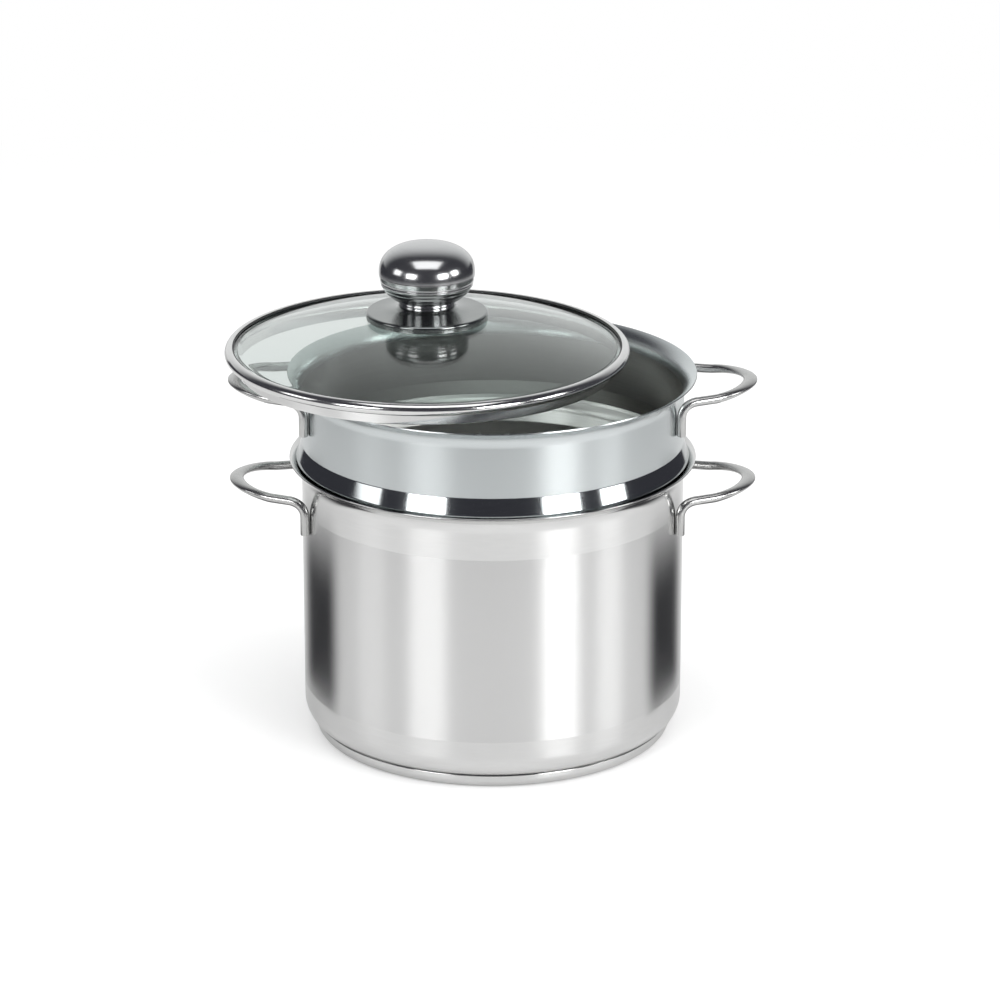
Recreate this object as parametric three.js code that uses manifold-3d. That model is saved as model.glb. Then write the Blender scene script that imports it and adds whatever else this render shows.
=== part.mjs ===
import * as THREE from 'three';
import { mergeGeometries, mergeVertices } from 'three/addons/utils/BufferGeometryUtils.js';
import Module from 'manifold-3d';

const wasm = await Module();
wasm.setup();

// Pasta pot in millimetres, +Z up. The pot's axis is Z, it stands on Z = 0 and its handles point along X.
// A strainer basket hangs in the pot by a bead under its tall collar, and a glass lid lies across the
// basket's rim, pushed to one side.

// Pot, drawn from one steel sheet
const POT_BORE = 100; // inside radius of the straight wall
const POT_WALL = 0.8;
const POT_HEIGHT = 152.5; // foot to rim
const POT_CORNER = 13; // outside radius between floor and wall
const RIM_BEND = 10; // outside radius of a flared pouring rim
const RIM_TURN = THREE.MathUtils.degToRad(70); // how far a rim leans out of the vertical

// Sandwich base: an aluminium disc closed in by a steel cap
const BASE_RADIUS = 95;
const CAP_WALL = 0.6;
const CAP_CORNER = 5;
const CAP_HEIGHT = 7.1;
const CORE_THICKNESS = 4.5;
const BRAZE_GAP = 0.2;

// Strainer basket
const BASKET_WALL = 0.6;
const BASKET_STAND = 45.3; // basket rim above pot rim
const BASKET_DEPTH = 142; // basket rim to the underside of its floor
const BASKET_CORNER = 12;
const BASKET_PLAY = 2.5; // room between basket and pot bore
const SEAT_GAP = 0.3;
const SEAT_START = THREE.MathUtils.degToRad(12); // stretch of the pot's rim that the basket sits on
const SEAT_END = THREE.MathUtils.degToRad(46);
const SEAT_LEAD = 4; // the wall starts to open this far below the pot's rim bend
const BEAD_PROUD = 2.8; // the bead stands out this far beyond the collar
const BEAD_NOSE = 1.2;
const SHOULDER_TILT = THREE.MathUtils.degToRad(18); // slope from the bead back to the collar
const HOLE_RADIUS = 2.6;
const HOLE_ROW_PITCH = 18;
const HOLE_MARGIN = 7; // plain band above the floor corner and below the seat
const HOLE_RING_PITCH = 30;
const DRILL_LENGTH = 5; // reaches right through the basket's wall

// Wire handles, two on the pot and two on the basket
const WIRE = 4.8; // diameter of the wire
const ROUND_PULL = 0.55; // share of a corner's sides that makes a round quarter
const GRIP_WIDTH = 7.4; // the wire is pressed flat across the grip
const GRIP_THICKNESS = 3.4;
const WELD_GAP = 0.2;
const WELD_SPREAD = 32; // half the distance between the welded legs
const LOOP_SPREAD = 28.5; // half the distance between the two arms
const LOOP_REACH = 38.6; // pot wall to the outer edge of the grip
const LOOP_BOW = 19; // length of the rounded end
const LOOP_RISE = 1.7; // the grip lies a little higher than the arms
const LEG_DROP = 19; // arms down to the end of the welded leg
const LEG_BEND = 9;
const UPRIGHT_LEAN = 0.2; // a leg that leans less than this counts as upright
const POT_HANDLE_DROP = 16; // rim to the arms
const BASKET_HANDLE_DROP = 6.9;

// Lid: domed glass in a crimped steel band with a silicone seal
const LID_SHIFT_X = -34.3; // the lid lies off the pot's axis
const LID_SHIFT_Y = 6.5;
const LID_REST_GAP = 0.3;
const LID_PLAY = 1; // room between the band's skirt and the basket's collar
const BAND_WALL = 0.5;
const BAND_HEIGHT = 12.4;
const BEAD_REACH = 7.3; // the roll stands out this far beyond the skirt
const BEAD_ROUND = 2.8;
const LIP_REACH = 4.2; // the roll's top covers this much of the lid's edge
const SEAL_WALL = 0.6;
const SEAL_LIP = 0.7; // seal seen inside the band's lip
const SEAL_GAP = 0.15;
const GLASS_THICKNESS = 3.5;
const GLASS_LAND = 3.8; // flat edge that the band grips
const CROWN_MARGIN = 1; // the glass is flat this far beyond the knob's gasket
const DOME_RISE = 17.4;

// Knob, a hollow steel ball on a dished skirt, screwed through the glass
const KNOB_RADIUS = 25.2;
const KNOB_TOP = 16; // height of the ball above its widest ring
const KNOB_WAIST = 17; // height of the neck piece below that ring
const KNOB_WALL = 1.2;
const KNOB_FULLNESS = 2.5; // exponent of the ball's outline, 2 being an ellipse
const NECK_RADIUS = 15;
const SPIGOT_LENGTH = 2.5;
const SKIRT_RADIUS = 32;
const SKIRT_WALL = 1;
const SKIRT_EDGE = 3.8; // height of its rounded outer edge
const SKIRT_ROUND = 1.6;
const SKIRT_HEIGHT = 6.6;
const SKIRT_GLASS_GAP = 0.3;
const KNOB_FIT = 0.25;
const SCREW_RADIUS = 2.5;
const SCREW_HEAD_RADIUS = 4.6;
const SCREW_HEAD_HEIGHT = 3;
const SCREW_HOLE_PLAY = 0.7;
const THREAD_PLAY = 0.2;
const NUT_RADIUS = 5.8;
const NUT_HEIGHT = 6;
const SCREW_PAST_NUT = 1;
const UPPER_GASKET_RADIUS = 12;
const LOWER_GASKET_RADIUS = 9;
const LOWER_GASKET_THICKNESS = 1.5;
const WASHER_RADIUS = 8;
const WASHER_THICKNESS = 1;

// Facets round a turned piece and along its bends
const LARGE_SEGMENTS = 40;
const SMALL_SEGMENTS = 24;
const BEND_STEPS = 2;
const SMALL_BEND_STEPS = 1;
const WIRE_SIDES = 8;
const WIRE_STEPS = 24;
const HOLE_SIDES = 6;

const potRadius = POT_BORE + POT_WALL;
const potFloor = CAP_WALL + BRAZE_GAP + CORE_THICKNESS + BRAZE_GAP;
const basketTop = POT_HEIGHT + BASKET_STAND;
const rimFoot = (top, wall) => top - (RIM_BEND + wall) * Math.sin(RIM_TURN);
const potRimFoot = rimFoot(POT_HEIGHT, POT_WALL);
const basketFloor = basketTop - BASKET_DEPTH;
const basketRadius = POT_BORE - BASKET_PLAY;
const shaftHole = SCREW_RADIUS + SCREW_HOLE_PLAY;

const steel = { color: 0xc9cbca, roughness: 0.16, metalness: 1 };
const satinSteel = { color: 0xbfc0bf, roughness: 0.34, metalness: 1 };
const aluminium = { color: 0xd4d6d8, roughness: 0.45, metalness: 1 };
const glass = { color: 0xd9e6e0, roughness: 0.05, metalness: 0, transparent: true, opacity: 0.35 };
const silicone = { color: 0x3a3c3d, roughness: 0.6, metalness: 0 };

function piece(name, geometry, finish) {
  const mesh = new THREE.Mesh(geometry, new THREE.MeshStandardMaterial(finish));
  mesh.name = name;
  return mesh;
}

// A solid of revolution about Z from a closed outline of radius and height
function turned(points, segments) {
  return new THREE.LatheGeometry(points, segments).rotateX(Math.PI / 2);
}

// The same outline moved sideways by the sheet's thickness, to the left of its direction
function offsetOutline(points, distance) {
  const leftOf = (a, b) => new THREE.Vector2(a.y - b.y, b.x - a.x).normalize();
  const last = points.length - 1;
  return points.map((point, i) => {
    const before = leftOf(points[Math.max(i - 1, 0)], points[Math.max(i, 1)]);
    const after = leftOf(points[Math.min(i, last - 1)], points[Math.min(i + 1, last)]);
    const mitre = before.clone().add(after).normalize();
    return point.clone().addScaledVector(mitre, distance / mitre.dot(before));
  });
}

// A shell turned from an outline that runs outwards and up, with its wall on the inside
function turnedSheet(outline, wall, segments, bendSteps = BEND_STEPS) {
  const outside = outline.getPoints(bendSteps);
  const profile = [...outside, ...offsetOutline(outside, wall).reverse()];
  if (outside[0].x > 0) profile.push(outside[0]);
  return turned(profile, segments);
}

function ring(inner, outer, low, high, segments) {
  const corners = [[inner, low], [outer, low], [outer, high], [inner, high], [inner, low]];
  return turned(corners.map(([r, z]) => new THREE.Vector2(r, z)), segments);
}

function toSolid(geometry) {
  const bare = geometry.clone();
  bare.deleteAttribute('normal');
  bare.deleteAttribute('uv');
  const merged = mergeVertices(bare, 1e-4);
  const vertProperties = new Float32Array(merged.attributes.position.array);
  const corners = merged.index.array;
  const triVerts = [];
  for (let i = 0; i < corners.length; i += 3) {
    const [a, b, c] = corners.slice(i, i + 3);
    if (a !== b && b !== c && c !== a) triVerts.push(a, b, c);
  }
  const mesh = new wasm.Mesh({ numProp: 3, vertProperties, triVerts: new Uint32Array(triVerts) });
  return new wasm.Manifold(mesh);
}

function toGeometry(solid) {
  const { vertProperties, triVerts } = solid.getMesh();
  const geometry = new THREE.BufferGeometry();
  geometry.setAttribute('position', new THREE.BufferAttribute(vertProperties, 3));
  geometry.setIndex(new THREE.BufferAttribute(triVerts, 1));
  return geometry;
}

// A pouring rim: the wall's last stretch, bent outwards
function addRim(outline, radius, foot) {
  outline.lineTo(radius, foot);
  outline.absarc(radius + RIM_BEND, foot, RIM_BEND, Math.PI, Math.PI - RIM_TURN, true);
}

function potShell() {
  const outline = new THREE.Path().moveTo(0, potFloor);
  outline.lineTo(potRadius - POT_CORNER, potFloor);
  outline.absarc(potRadius - POT_CORNER, potFloor + POT_CORNER, POT_CORNER, -Math.PI / 2, 0);
  addRim(outline, potRadius, potRimFoot);
  return turnedSheet(outline, POT_WALL, LARGE_SEGMENTS);
}

function baseCap() {
  const outline = new THREE.Path().moveTo(0, 0);
  outline.lineTo(BASE_RADIUS - CAP_CORNER, 0);
  outline.absarc(BASE_RADIUS - CAP_CORNER, CAP_CORNER, CAP_CORNER, -Math.PI / 2, 0);
  outline.lineTo(BASE_RADIUS, CAP_HEIGHT);
  return turnedSheet(outline, CAP_WALL, LARGE_SEGMENTS, SMALL_BEND_STEPS);
}

function baseCore() {
  const low = CAP_WALL + BRAZE_GAP;
  const high = low + CORE_THICKNESS;
  const edge = BASE_RADIUS - CAP_WALL - BRAZE_GAP;
  const bevel = CAP_CORNER - CAP_WALL - BRAZE_GAP;
  const outline = new THREE.Path().moveTo(0, low);
  outline.lineTo(edge - bevel, low).lineTo(edge, low + bevel).lineTo(edge, high).lineTo(0, high);
  return turned(outline.getPoints(), LARGE_SEGMENTS);
}

function basketShell() {
  const seatCentre = potRadius + RIM_BEND;
  const seatRadius = RIM_BEND + POT_WALL + SEAT_GAP;
  const noseCentre = potRadius + BEAD_PROUD - BEAD_NOSE;
  const slopeStart = noseCentre + BEAD_NOSE * Math.cos(SHOULDER_TILT);
  const slopeHeight = (slopeStart - potRadius) / Math.tan(SHOULDER_TILT);
  const collarFoot = POT_HEIGHT + BEAD_NOSE * Math.sin(SHOULDER_TILT) + slopeHeight;
  const outline = new THREE.Path().moveTo(0, basketFloor);
  outline.lineTo(basketRadius - BASKET_CORNER, basketFloor);
  outline.absarc(basketRadius - BASKET_CORNER, basketFloor + BASKET_CORNER, BASKET_CORNER, -Math.PI / 2, 0);
  outline.lineTo(basketRadius, potRimFoot - SEAT_LEAD);
  outline.absarc(seatCentre, potRimFoot, seatRadius, Math.PI - SEAT_START, Math.PI - SEAT_END, true);
  outline.absarc(noseCentre, POT_HEIGHT, BEAD_NOSE, -Math.PI / 4, SHOULDER_TILT);
  outline.lineTo(potRadius, collarFoot);
  addRim(outline, potRadius, rimFoot(basketTop, BASKET_WALL));
  const shell = turnedSheet(outline, BASKET_WALL, LARGE_SEGMENTS);
  return toGeometry(toSolid(shell).subtract(toSolid(mergeGeometries(strainerHoles()))));
}

// Drain holes: staggered rows round the wall, each hole in the middle of a facet, and rings in the floor
function strainerHoles() {
  const drill = new THREE.CylinderGeometry(HOLE_RADIUS, HOLE_RADIUS, DRILL_LENGTH, HOLE_SIDES);
  const holes = [];
  const facet = (2 * Math.PI) / LARGE_SEGMENTS;
  const lowest = basketFloor + BASKET_CORNER + HOLE_MARGIN;
  const rows = Math.floor((potRimFoot - SEAT_LEAD - HOLE_MARGIN - lowest) / HOLE_ROW_PITCH) + 1;
  for (let row = 0; row < rows; row++) {
    for (let i = row % 2; i < LARGE_SEGMENTS; i += 2) {
      const hole = drill.clone().rotateZ(Math.PI / 2);
      hole.translate(basketRadius - BASKET_WALL / 2, 0, lowest + row * HOLE_ROW_PITCH);
      holes.push(hole.rotateZ((i + 0.5) * facet));
    }
  }
  const rings = Math.floor((basketRadius - BASKET_CORNER - HOLE_MARGIN) / HOLE_RING_PITCH);
  const floorDrill = drill.clone().rotateX(Math.PI / 2).translate(0, 0, basketFloor + BASKET_WALL / 2);
  holes.push(floorDrill);
  for (let k = 1; k <= rings; k++) {
    for (let i = 0; i < 6 * k; i++) {
      holes.push(floorDrill.clone().translate(k * HOLE_RING_PITCH, 0, 0).rotateZ((i * Math.PI) / (3 * k)));
    }
  }
  return holes;
}

// Centre line of a handle that points along +X, with Z = 0 at the height of its arms
function handlePath(grip) {
  const weldRadius = potRadius + WELD_GAP + WIRE / 2;
  const weldX = Math.sqrt(weldRadius ** 2 - WELD_SPREAD ** 2);
  const bowStart = grip - LOOP_BOW;
  const point = (x, y, z) => new THREE.Vector3(x, y, z);
  const half = [
    point(weldX, WELD_SPREAD, -LEG_DROP),
    point(weldX, WELD_SPREAD, -LEG_BEND),
    point(weldX, WELD_SPREAD, 0),
    point(weldX + LEG_BEND, LOOP_SPREAD, 0),
    point(bowStart, LOOP_SPREAD, LOOP_RISE / 2),
    point(grip, LOOP_SPREAD, LOOP_RISE),
    point(grip, 0, LOOP_RISE),
  ];
  const [foot, legTop, bendCorner, armStart, armEnd, bowCorner, crown] = half;
  const bow = [armEnd.clone().lerp(bowCorner, ROUND_PULL), crown.clone().lerp(bowCorner, ROUND_PULL)];
  const mirror = (p) => point(p.x, -p.y, p.z);
  const path = new THREE.CurvePath();
  path.add(new THREE.LineCurve3(foot, legTop));
  path.add(new THREE.QuadraticBezierCurve3(legTop, bendCorner, armStart));
  path.add(new THREE.LineCurve3(armStart, armEnd));
  path.add(new THREE.CubicBezierCurve3(armEnd, ...bow, crown));
  path.add(new THREE.CubicBezierCurve3(crown, mirror(bow[1]), mirror(bow[0]), mirror(armEnd)));
  path.add(new THREE.LineCurve3(mirror(armEnd), mirror(armStart)));
  path.add(new THREE.QuadraticBezierCurve3(mirror(armStart), mirror(bendCorner), mirror(legTop)));
  path.add(new THREE.LineCurve3(mirror(legTop), mirror(foot)));
  return path;
}

// A wire swept along its path: round at the legs, wide and flat across the grip
function handleGeometry() {
  const grip = potRadius + LOOP_REACH - GRIP_WIDTH / 2;
  const path = handlePath(grip);
  const flatFrom = grip - LOOP_BOW;
  const positions = [];
  for (let i = 0; i <= WIRE_STEPS; i++) {
    const centre = path.getPointAt(i / WIRE_STEPS);
    const tangent = path.getTangentAt(i / WIRE_STEPS);
    const across = new THREE.Vector3(0, 0, 1).cross(tangent);
    if (across.length() < UPRIGHT_LEAN) across.set(0, Math.sign(centre.y), 0);
    across.normalize();
    const over = tangent.clone().cross(across).normalize();
    const flat = THREE.MathUtils.smoothstep(centre.x, flatFrom, grip);
    const wide = THREE.MathUtils.lerp(WIRE, GRIP_WIDTH, flat) / 2;
    const high = THREE.MathUtils.lerp(WIRE, GRIP_THICKNESS, flat) / 2;
    for (let j = 0; j < WIRE_SIDES; j++) {
      const turn = ((j + 0.5) * 2 * Math.PI) / WIRE_SIDES;
      const rim = centre.clone().addScaledVector(across, wide * Math.cos(turn));
      positions.push(...rim.addScaledVector(over, high * Math.sin(turn)));
    }
  }
  const faces = [];
  for (let i = 0; i < WIRE_STEPS; i++) {
    for (let j = 0; j < WIRE_SIDES; j++) {
      const a = i * WIRE_SIDES + j;
      const b = i * WIRE_SIDES + ((j + 1) % WIRE_SIDES);
      faces.push(a, b, b + WIRE_SIDES, a, b + WIRE_SIDES, a + WIRE_SIDES);
    }
  }
  const last = WIRE_STEPS * WIRE_SIDES;
  for (let j = 1; j < WIRE_SIDES - 1; j++) {
    faces.push(0, j + 1, j, last, last + j, last + j + 1);
  }
  const geometry = new THREE.BufferGeometry();
  geometry.setAttribute('position', new THREE.Float32BufferAttribute(positions, 3));
  geometry.setIndex(faces);
  return geometry;
}

function handlePair(prefix, height) {
  return ['right', 'left'].map((side) => {
    const handle = piece(`${prefix}_handle_${side}`, handleGeometry(), satinSteel);
    handle.rotation.z = side === 'left' ? Math.PI : 0;
    handle.position.z = height;
    return handle;
  });
}

// Lid sizes, from the skirt's lower edge up
const bandSkirt = potRadius - BASKET_WALL - LID_PLAY;
const bandRadius = bandSkirt + BEAD_REACH;
const bandLip = bandRadius - LIP_REACH;
const glassRadius = bandRadius - BEAD_ROUND - SEAL_GAP;
const glassTop = BAND_HEIGHT - BAND_WALL - SEAL_GAP - SEAL_WALL - SEAL_GAP;
const glassLow = glassTop - GLASS_THICKNESS;
const domeSpan = glassRadius - GLASS_LAND;
const domeRadius = (domeSpan ** 2 + DOME_RISE ** 2) / (2 * DOME_RISE);
const domeCentre = glassLow + DOME_RISE - domeRadius;
const domeHeight = (radius, skin) => domeCentre + Math.sqrt((domeRadius + skin) ** 2 - radius ** 2);
const crownRadius = UPPER_GASKET_RADIUS + CROWN_MARGIN;
const crownLow = domeHeight(crownRadius, 0);
const bandFlange = glassLow - SEAL_GAP - SEAL_WALL - SEAL_GAP;

function lidGlass() {
  const start = Math.acos(crownRadius / domeRadius);
  const end = Math.acos(domeSpan / domeRadius);
  const outline = new THREE.Path().moveTo(shaftHole, crownLow);
  outline.absarc(0, domeCentre, domeRadius, start, end, true);
  outline.lineTo(glassRadius, glassLow);
  return turnedSheet(outline, GLASS_THICKNESS, LARGE_SEGMENTS);
}

function lidBand() {
  const low = bandFlange - BAND_WALL;
  const outline = new THREE.Path().moveTo(bandSkirt, 0).lineTo(bandSkirt, low);
  outline.absarc(bandRadius - BEAD_ROUND, low + BEAD_ROUND, BEAD_ROUND, -Math.PI / 2, 0);
  outline.absarc(bandRadius - BEAD_ROUND, BAND_HEIGHT - BEAD_ROUND, BEAD_ROUND, 0, Math.PI / 2);
  outline.lineTo(bandLip, BAND_HEIGHT);
  return turnedSheet(outline, BAND_WALL, LARGE_SEGMENTS);
}

// A channel of silicone round the glass edge, its corners cut to clear the roll
function lidSeal() {
  const outer = glassRadius + SEAL_GAP + SEAL_WALL;
  const inner = bandLip - SEAL_LIP;
  const low = glassLow - SEAL_GAP - SEAL_WALL;
  const high = glassTop + SEAL_GAP + SEAL_WALL;
  const outline = new THREE.Path().moveTo(inner, low).lineTo(outer - SEAL_WALL, low);
  outline.lineTo(outer, low + SEAL_WALL).lineTo(outer, high - SEAL_WALL);
  outline.lineTo(outer - SEAL_WALL, high).lineTo(inner, high);
  return turnedSheet(outline, SEAL_WALL, LARGE_SEGMENTS);
}

// Knob heights, from the lower edge of its skirt up
const knobFoot = domeHeight(SKIRT_RADIUS, GLASS_THICKNESS) + SKIRT_GLASS_GAP;
const glassCrown = crownLow + GLASS_THICKNESS - knobFoot;
const neckFoot = SKIRT_HEIGHT + KNOB_FIT;
const ballWaist = neckFoot + KNOB_WAIST;
const nutFoot = neckFoot + KNOB_WALL + KNOB_FIT;

function knobSkirt() {
  const round = SKIRT_RADIUS - SKIRT_ROUND;
  const outline = new THREE.Path().moveTo(SKIRT_RADIUS, 0).lineTo(SKIRT_RADIUS, SKIRT_EDGE - SKIRT_ROUND);
  outline.absarc(round, SKIRT_EDGE - SKIRT_ROUND, SKIRT_ROUND, 0, Math.PI / 2);
  outline.quadraticCurveTo(NECK_RADIUS + SKIRT_WALL, SKIRT_EDGE, NECK_RADIUS, SKIRT_HEIGHT);
  outline.lineTo(shaftHole, SKIRT_HEIGHT);
  return turnedSheet(outline, SKIRT_WALL, SMALL_SEGMENTS);
}

// Lower half of the ball, straight at the top where the cap's spigot goes in
function knobNeck() {
  const straightFrom = ballWaist - SPIGOT_LENGTH - KNOB_FIT;
  const outline = new THREE.Path().moveTo(shaftHole, neckFoot).lineTo(NECK_RADIUS, neckFoot);
  outline.quadraticCurveTo(KNOB_RADIUS, neckFoot + KNOB_WAIST / 2, KNOB_RADIUS, straightFrom);
  outline.lineTo(KNOB_RADIUS, ballWaist);
  return turnedSheet(outline, KNOB_WALL, SMALL_SEGMENTS);
}

// Upper half of the ball, with a spigot that drops into the neck piece
function knobCap() {
  const foot = ballWaist + KNOB_FIT;
  const steps = 3 * BEND_STEPS;
  const dome = (radius, rise) => Array.from({ length: steps + 1 }, (_, i) => {
    const turn = (i / steps) * (Math.PI / 2);
    const fullness = 2 / KNOB_FULLNESS;
    const r = i < steps ? radius * Math.cos(turn) ** fullness : 0;
    return new THREE.Vector2(r, foot + rise * Math.sin(turn) ** fullness);
  });
  const spigot = KNOB_RADIUS - KNOB_WALL - KNOB_FIT;
  const bore = spigot - KNOB_WALL;
  const tongue = [[bore, foot - SPIGOT_LENGTH], [spigot, foot - SPIGOT_LENGTH], [spigot, foot]];
  const outside = dome(KNOB_RADIUS, KNOB_TOP);
  const inside = dome(bore, KNOB_TOP - KNOB_WALL).reverse();
  const corners = tongue.map(([r, z]) => new THREE.Vector2(r, z));
  return turned([...corners, ...outside, ...inside, corners[0]], SMALL_SEGMENTS);
}

function knobNut() {
  const corners = Array.from({ length: 6 }, (_, i) => {
    const turn = (i * Math.PI) / 3;
    return new THREE.Vector2(Math.cos(turn), Math.sin(turn)).multiplyScalar(NUT_RADIUS);
  });
  const hexagon = new THREE.Shape(corners);
  hexagon.holes.push(new THREE.Path().absarc(0, 0, SCREW_RADIUS + THREAD_PLAY, 0, 2 * Math.PI));
  const settings = { depth: NUT_HEIGHT, bevelEnabled: false, curveSegments: SMALL_SEGMENTS / 4 };
  return new THREE.ExtrudeGeometry(hexagon, settings).translate(0, 0, nutFoot);
}

// Stack under the glass: gasket, washer and screw head
const lowerGasketTop = glassCrown - GLASS_THICKNESS - KNOB_FIT;
const washerTop = lowerGasketTop - LOWER_GASKET_THICKNESS - KNOB_FIT;
const headTop = washerTop - WASHER_THICKNESS - KNOB_FIT;

function lowerGasket() {
  const low = lowerGasketTop - LOWER_GASKET_THICKNESS;
  return ring(shaftHole, LOWER_GASKET_RADIUS, low, lowerGasketTop, SMALL_SEGMENTS);
}

function upperGasket() {
  const top = SKIRT_HEIGHT - SKIRT_WALL - KNOB_FIT;
  return ring(shaftHole, UPPER_GASKET_RADIUS, glassCrown + KNOB_FIT, top, SMALL_SEGMENTS);
}

function screwWasher() {
  return ring(shaftHole, WASHER_RADIUS, washerTop - WASHER_THICKNESS, washerTop, SMALL_SEGMENTS);
}

function knobScrew() {
  const tip = nutFoot + NUT_HEIGHT + SCREW_PAST_NUT;
  const outline = new THREE.Path().moveTo(0, headTop - SCREW_HEAD_HEIGHT);
  outline.lineTo(SCREW_RADIUS, headTop - SCREW_HEAD_HEIGHT);
  outline.lineTo(SCREW_HEAD_RADIUS, headTop - SCREW_HEAD_HEIGHT / 2).lineTo(SCREW_HEAD_RADIUS, headTop);
  outline.lineTo(SCREW_RADIUS, headTop).lineTo(SCREW_RADIUS, tip).lineTo(0, tip);
  return turned(outline.getPoints(), SMALL_SEGMENTS / 2);
}

const pot = new THREE.Group();
pot.add(piece('base_cap', baseCap(), steel));
pot.add(piece('base_core', baseCore(), aluminium));
pot.add(piece('pot_shell', potShell(), satinSteel));
pot.add(...handlePair('pot', POT_HEIGHT - POT_HANDLE_DROP));

const basket = new THREE.Group();
basket.add(piece('basket_shell', basketShell(), steel));
basket.add(...handlePair('basket', basketTop - BASKET_HANDLE_DROP));

const knob = new THREE.Group();
knob.position.z = knobFoot;
knob.add(piece('knob_skirt', knobSkirt(), steel));
knob.add(piece('knob_neck', knobNeck(), steel));
knob.add(piece('knob_cap', knobCap(), steel));
knob.add(piece('knob_nut', knobNut(), satinSteel));
knob.add(piece('knob_screw', knobScrew(), satinSteel));
knob.add(piece('screw_washer', screwWasher(), satinSteel));
knob.add(piece('upper_gasket', upperGasket(), silicone));
knob.add(piece('lower_gasket', lowerGasket(), silicone));

const lid = new THREE.Group();
lid.position.set(LID_SHIFT_X, LID_SHIFT_Y, basketTop + LID_REST_GAP);
lid.add(piece('lid_glass', lidGlass(), glass));
lid.add(piece('lid_band', lidBand(), steel));
lid.add(piece('lid_seal', lidSeal(), silicone));
lid.add(knob);

const pastaPot = new THREE.Group();
pastaPot.add(pot, basket, lid);

export default pastaPot;
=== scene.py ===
import math

import bmesh
import bpy
from mathutils import Matrix, Vector
from mathutils.geometry import interpolate_bezier


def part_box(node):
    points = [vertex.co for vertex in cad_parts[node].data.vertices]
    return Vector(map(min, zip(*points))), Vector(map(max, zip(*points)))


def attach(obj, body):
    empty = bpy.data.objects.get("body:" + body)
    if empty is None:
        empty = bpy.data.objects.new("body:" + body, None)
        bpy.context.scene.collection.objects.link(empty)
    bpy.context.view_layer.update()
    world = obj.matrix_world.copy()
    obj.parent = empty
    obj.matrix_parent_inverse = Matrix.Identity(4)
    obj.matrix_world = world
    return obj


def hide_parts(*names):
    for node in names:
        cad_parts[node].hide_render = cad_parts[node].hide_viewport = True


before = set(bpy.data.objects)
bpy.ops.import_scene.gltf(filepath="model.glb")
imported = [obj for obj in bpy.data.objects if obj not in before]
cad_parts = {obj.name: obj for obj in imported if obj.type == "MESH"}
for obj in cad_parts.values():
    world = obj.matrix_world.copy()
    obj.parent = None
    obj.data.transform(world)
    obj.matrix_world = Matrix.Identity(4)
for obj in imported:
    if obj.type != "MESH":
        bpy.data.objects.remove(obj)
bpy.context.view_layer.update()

# Heat disc: a thick aluminium plate that spreads the heat, turned with a rounded lower edge.
# It is brazed under the pot's floor, and the steel cap closes it in all round.
TURN_STEPS = 160  # facets round a large turned piece
GUARD = 0.0004  # points this close to the ends of a straight wall keep it straight under smooth shading
SHARP = math.radians(38)  # edges bent more than this are creases
MERGE = 0.000002  # points closer than this are one point
LONG_RUN = 0.25  # a stretch gets guard points where each takes up less than this share of it


def start_outline(radius, height):
    """Starts the outline of a turned piece, in the half plane of X and Z."""
    outline = bmesh.new()
    outline.verts.new((radius, 0.0, height))
    return outline


def outline_tip(outline):
    """The point that an outline has reached."""
    outline.verts.ensure_lookup_table()
    return outline.verts[-1]


def draw_to(outline, place):
    """Draws an outline on to a point."""
    bmesh.ops.extrude_vert_indiv(outline, verts=[outline_tip(outline)])["verts"][0].co = place


def line_to(outline, radius, height):
    """Draws a straight stretch, with guard points near both ends of a long one."""
    start = outline_tip(outline).co.copy()
    run = Vector((radius, 0.0, height)) - start
    guard = GUARD / run.length
    stops = (guard, 1.0 - guard, 1.0) if guard < LONG_RUN else (1.0,)
    for stop in stops:
        draw_to(outline, start + run * stop)


def arc_to(outline, radius, height, degrees, steps):
    """Draws an arc about a centre, counter-clockwise where degrees is positive."""
    bmesh.ops.spin(outline, geom=[outline_tip(outline)], cent=(radius, 0.0, height),
                   axis=(0.0, -1.0, 0.0), angle=math.radians(degrees), steps=steps)


def turn(outline, wall=0.0, steps=TURN_STEPS):
    """Turns an outline about Z. A wall makes it a sheet, thickened to the left of its direction."""
    tip = outline_tip(outline)
    before = tip.link_edges[0].other_vert(tip)
    middle = (tip.co + before.co) / 2
    run = tip.co - before.co
    outside = Vector((run.z, 0.0, -run.x))
    bmesh.ops.spin(outline, geom=outline.verts[:] + outline.edges[:], cent=(0.0, 0.0, 0.0),
                   axis=(0.0, 0.0, 1.0), angle=2 * math.pi, steps=steps, use_merge=True)
    bmesh.ops.remove_doubles(outline, verts=outline.verts[:], dist=MERGE)
    bmesh.ops.recalc_face_normals(outline, faces=outline.faces[:])
    if wall:
        probe = min(outline.faces, key=lambda face: (face.calc_center_median() - middle).length)
        if probe.normal.dot(outside) < 0:
            bmesh.ops.reverse_faces(outline, faces=outline.faces[:])
        bmesh.ops.solidify(outline, geom=outline.faces[:], thickness=wall)
    return outline


def soften(mesh, width, segments=2):
    """Rounds the sharp edges, as deburring does."""
    mesh.normal_update()
    sharp = [edge for edge in mesh.edges if edge.is_manifold and edge.calc_face_angle() > SHARP]
    bmesh.ops.bevel(mesh, geom=sharp, offset=width, segments=segments, profile=0.5, affect="EDGES",
                    material=-1)
    bmesh.ops.dissolve_degenerate(mesh, dist=MERGE, edges=mesh.edges[:])


def start_material(name):
    """Starts a material, and gives it with its nodes, its links and its shader."""
    material = bpy.data.materials.new(name)
    material.use_nodes = True
    nodes, links = material.node_tree.nodes, material.node_tree.links
    return material, nodes, links, nodes["Principled BSDF"]


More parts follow.
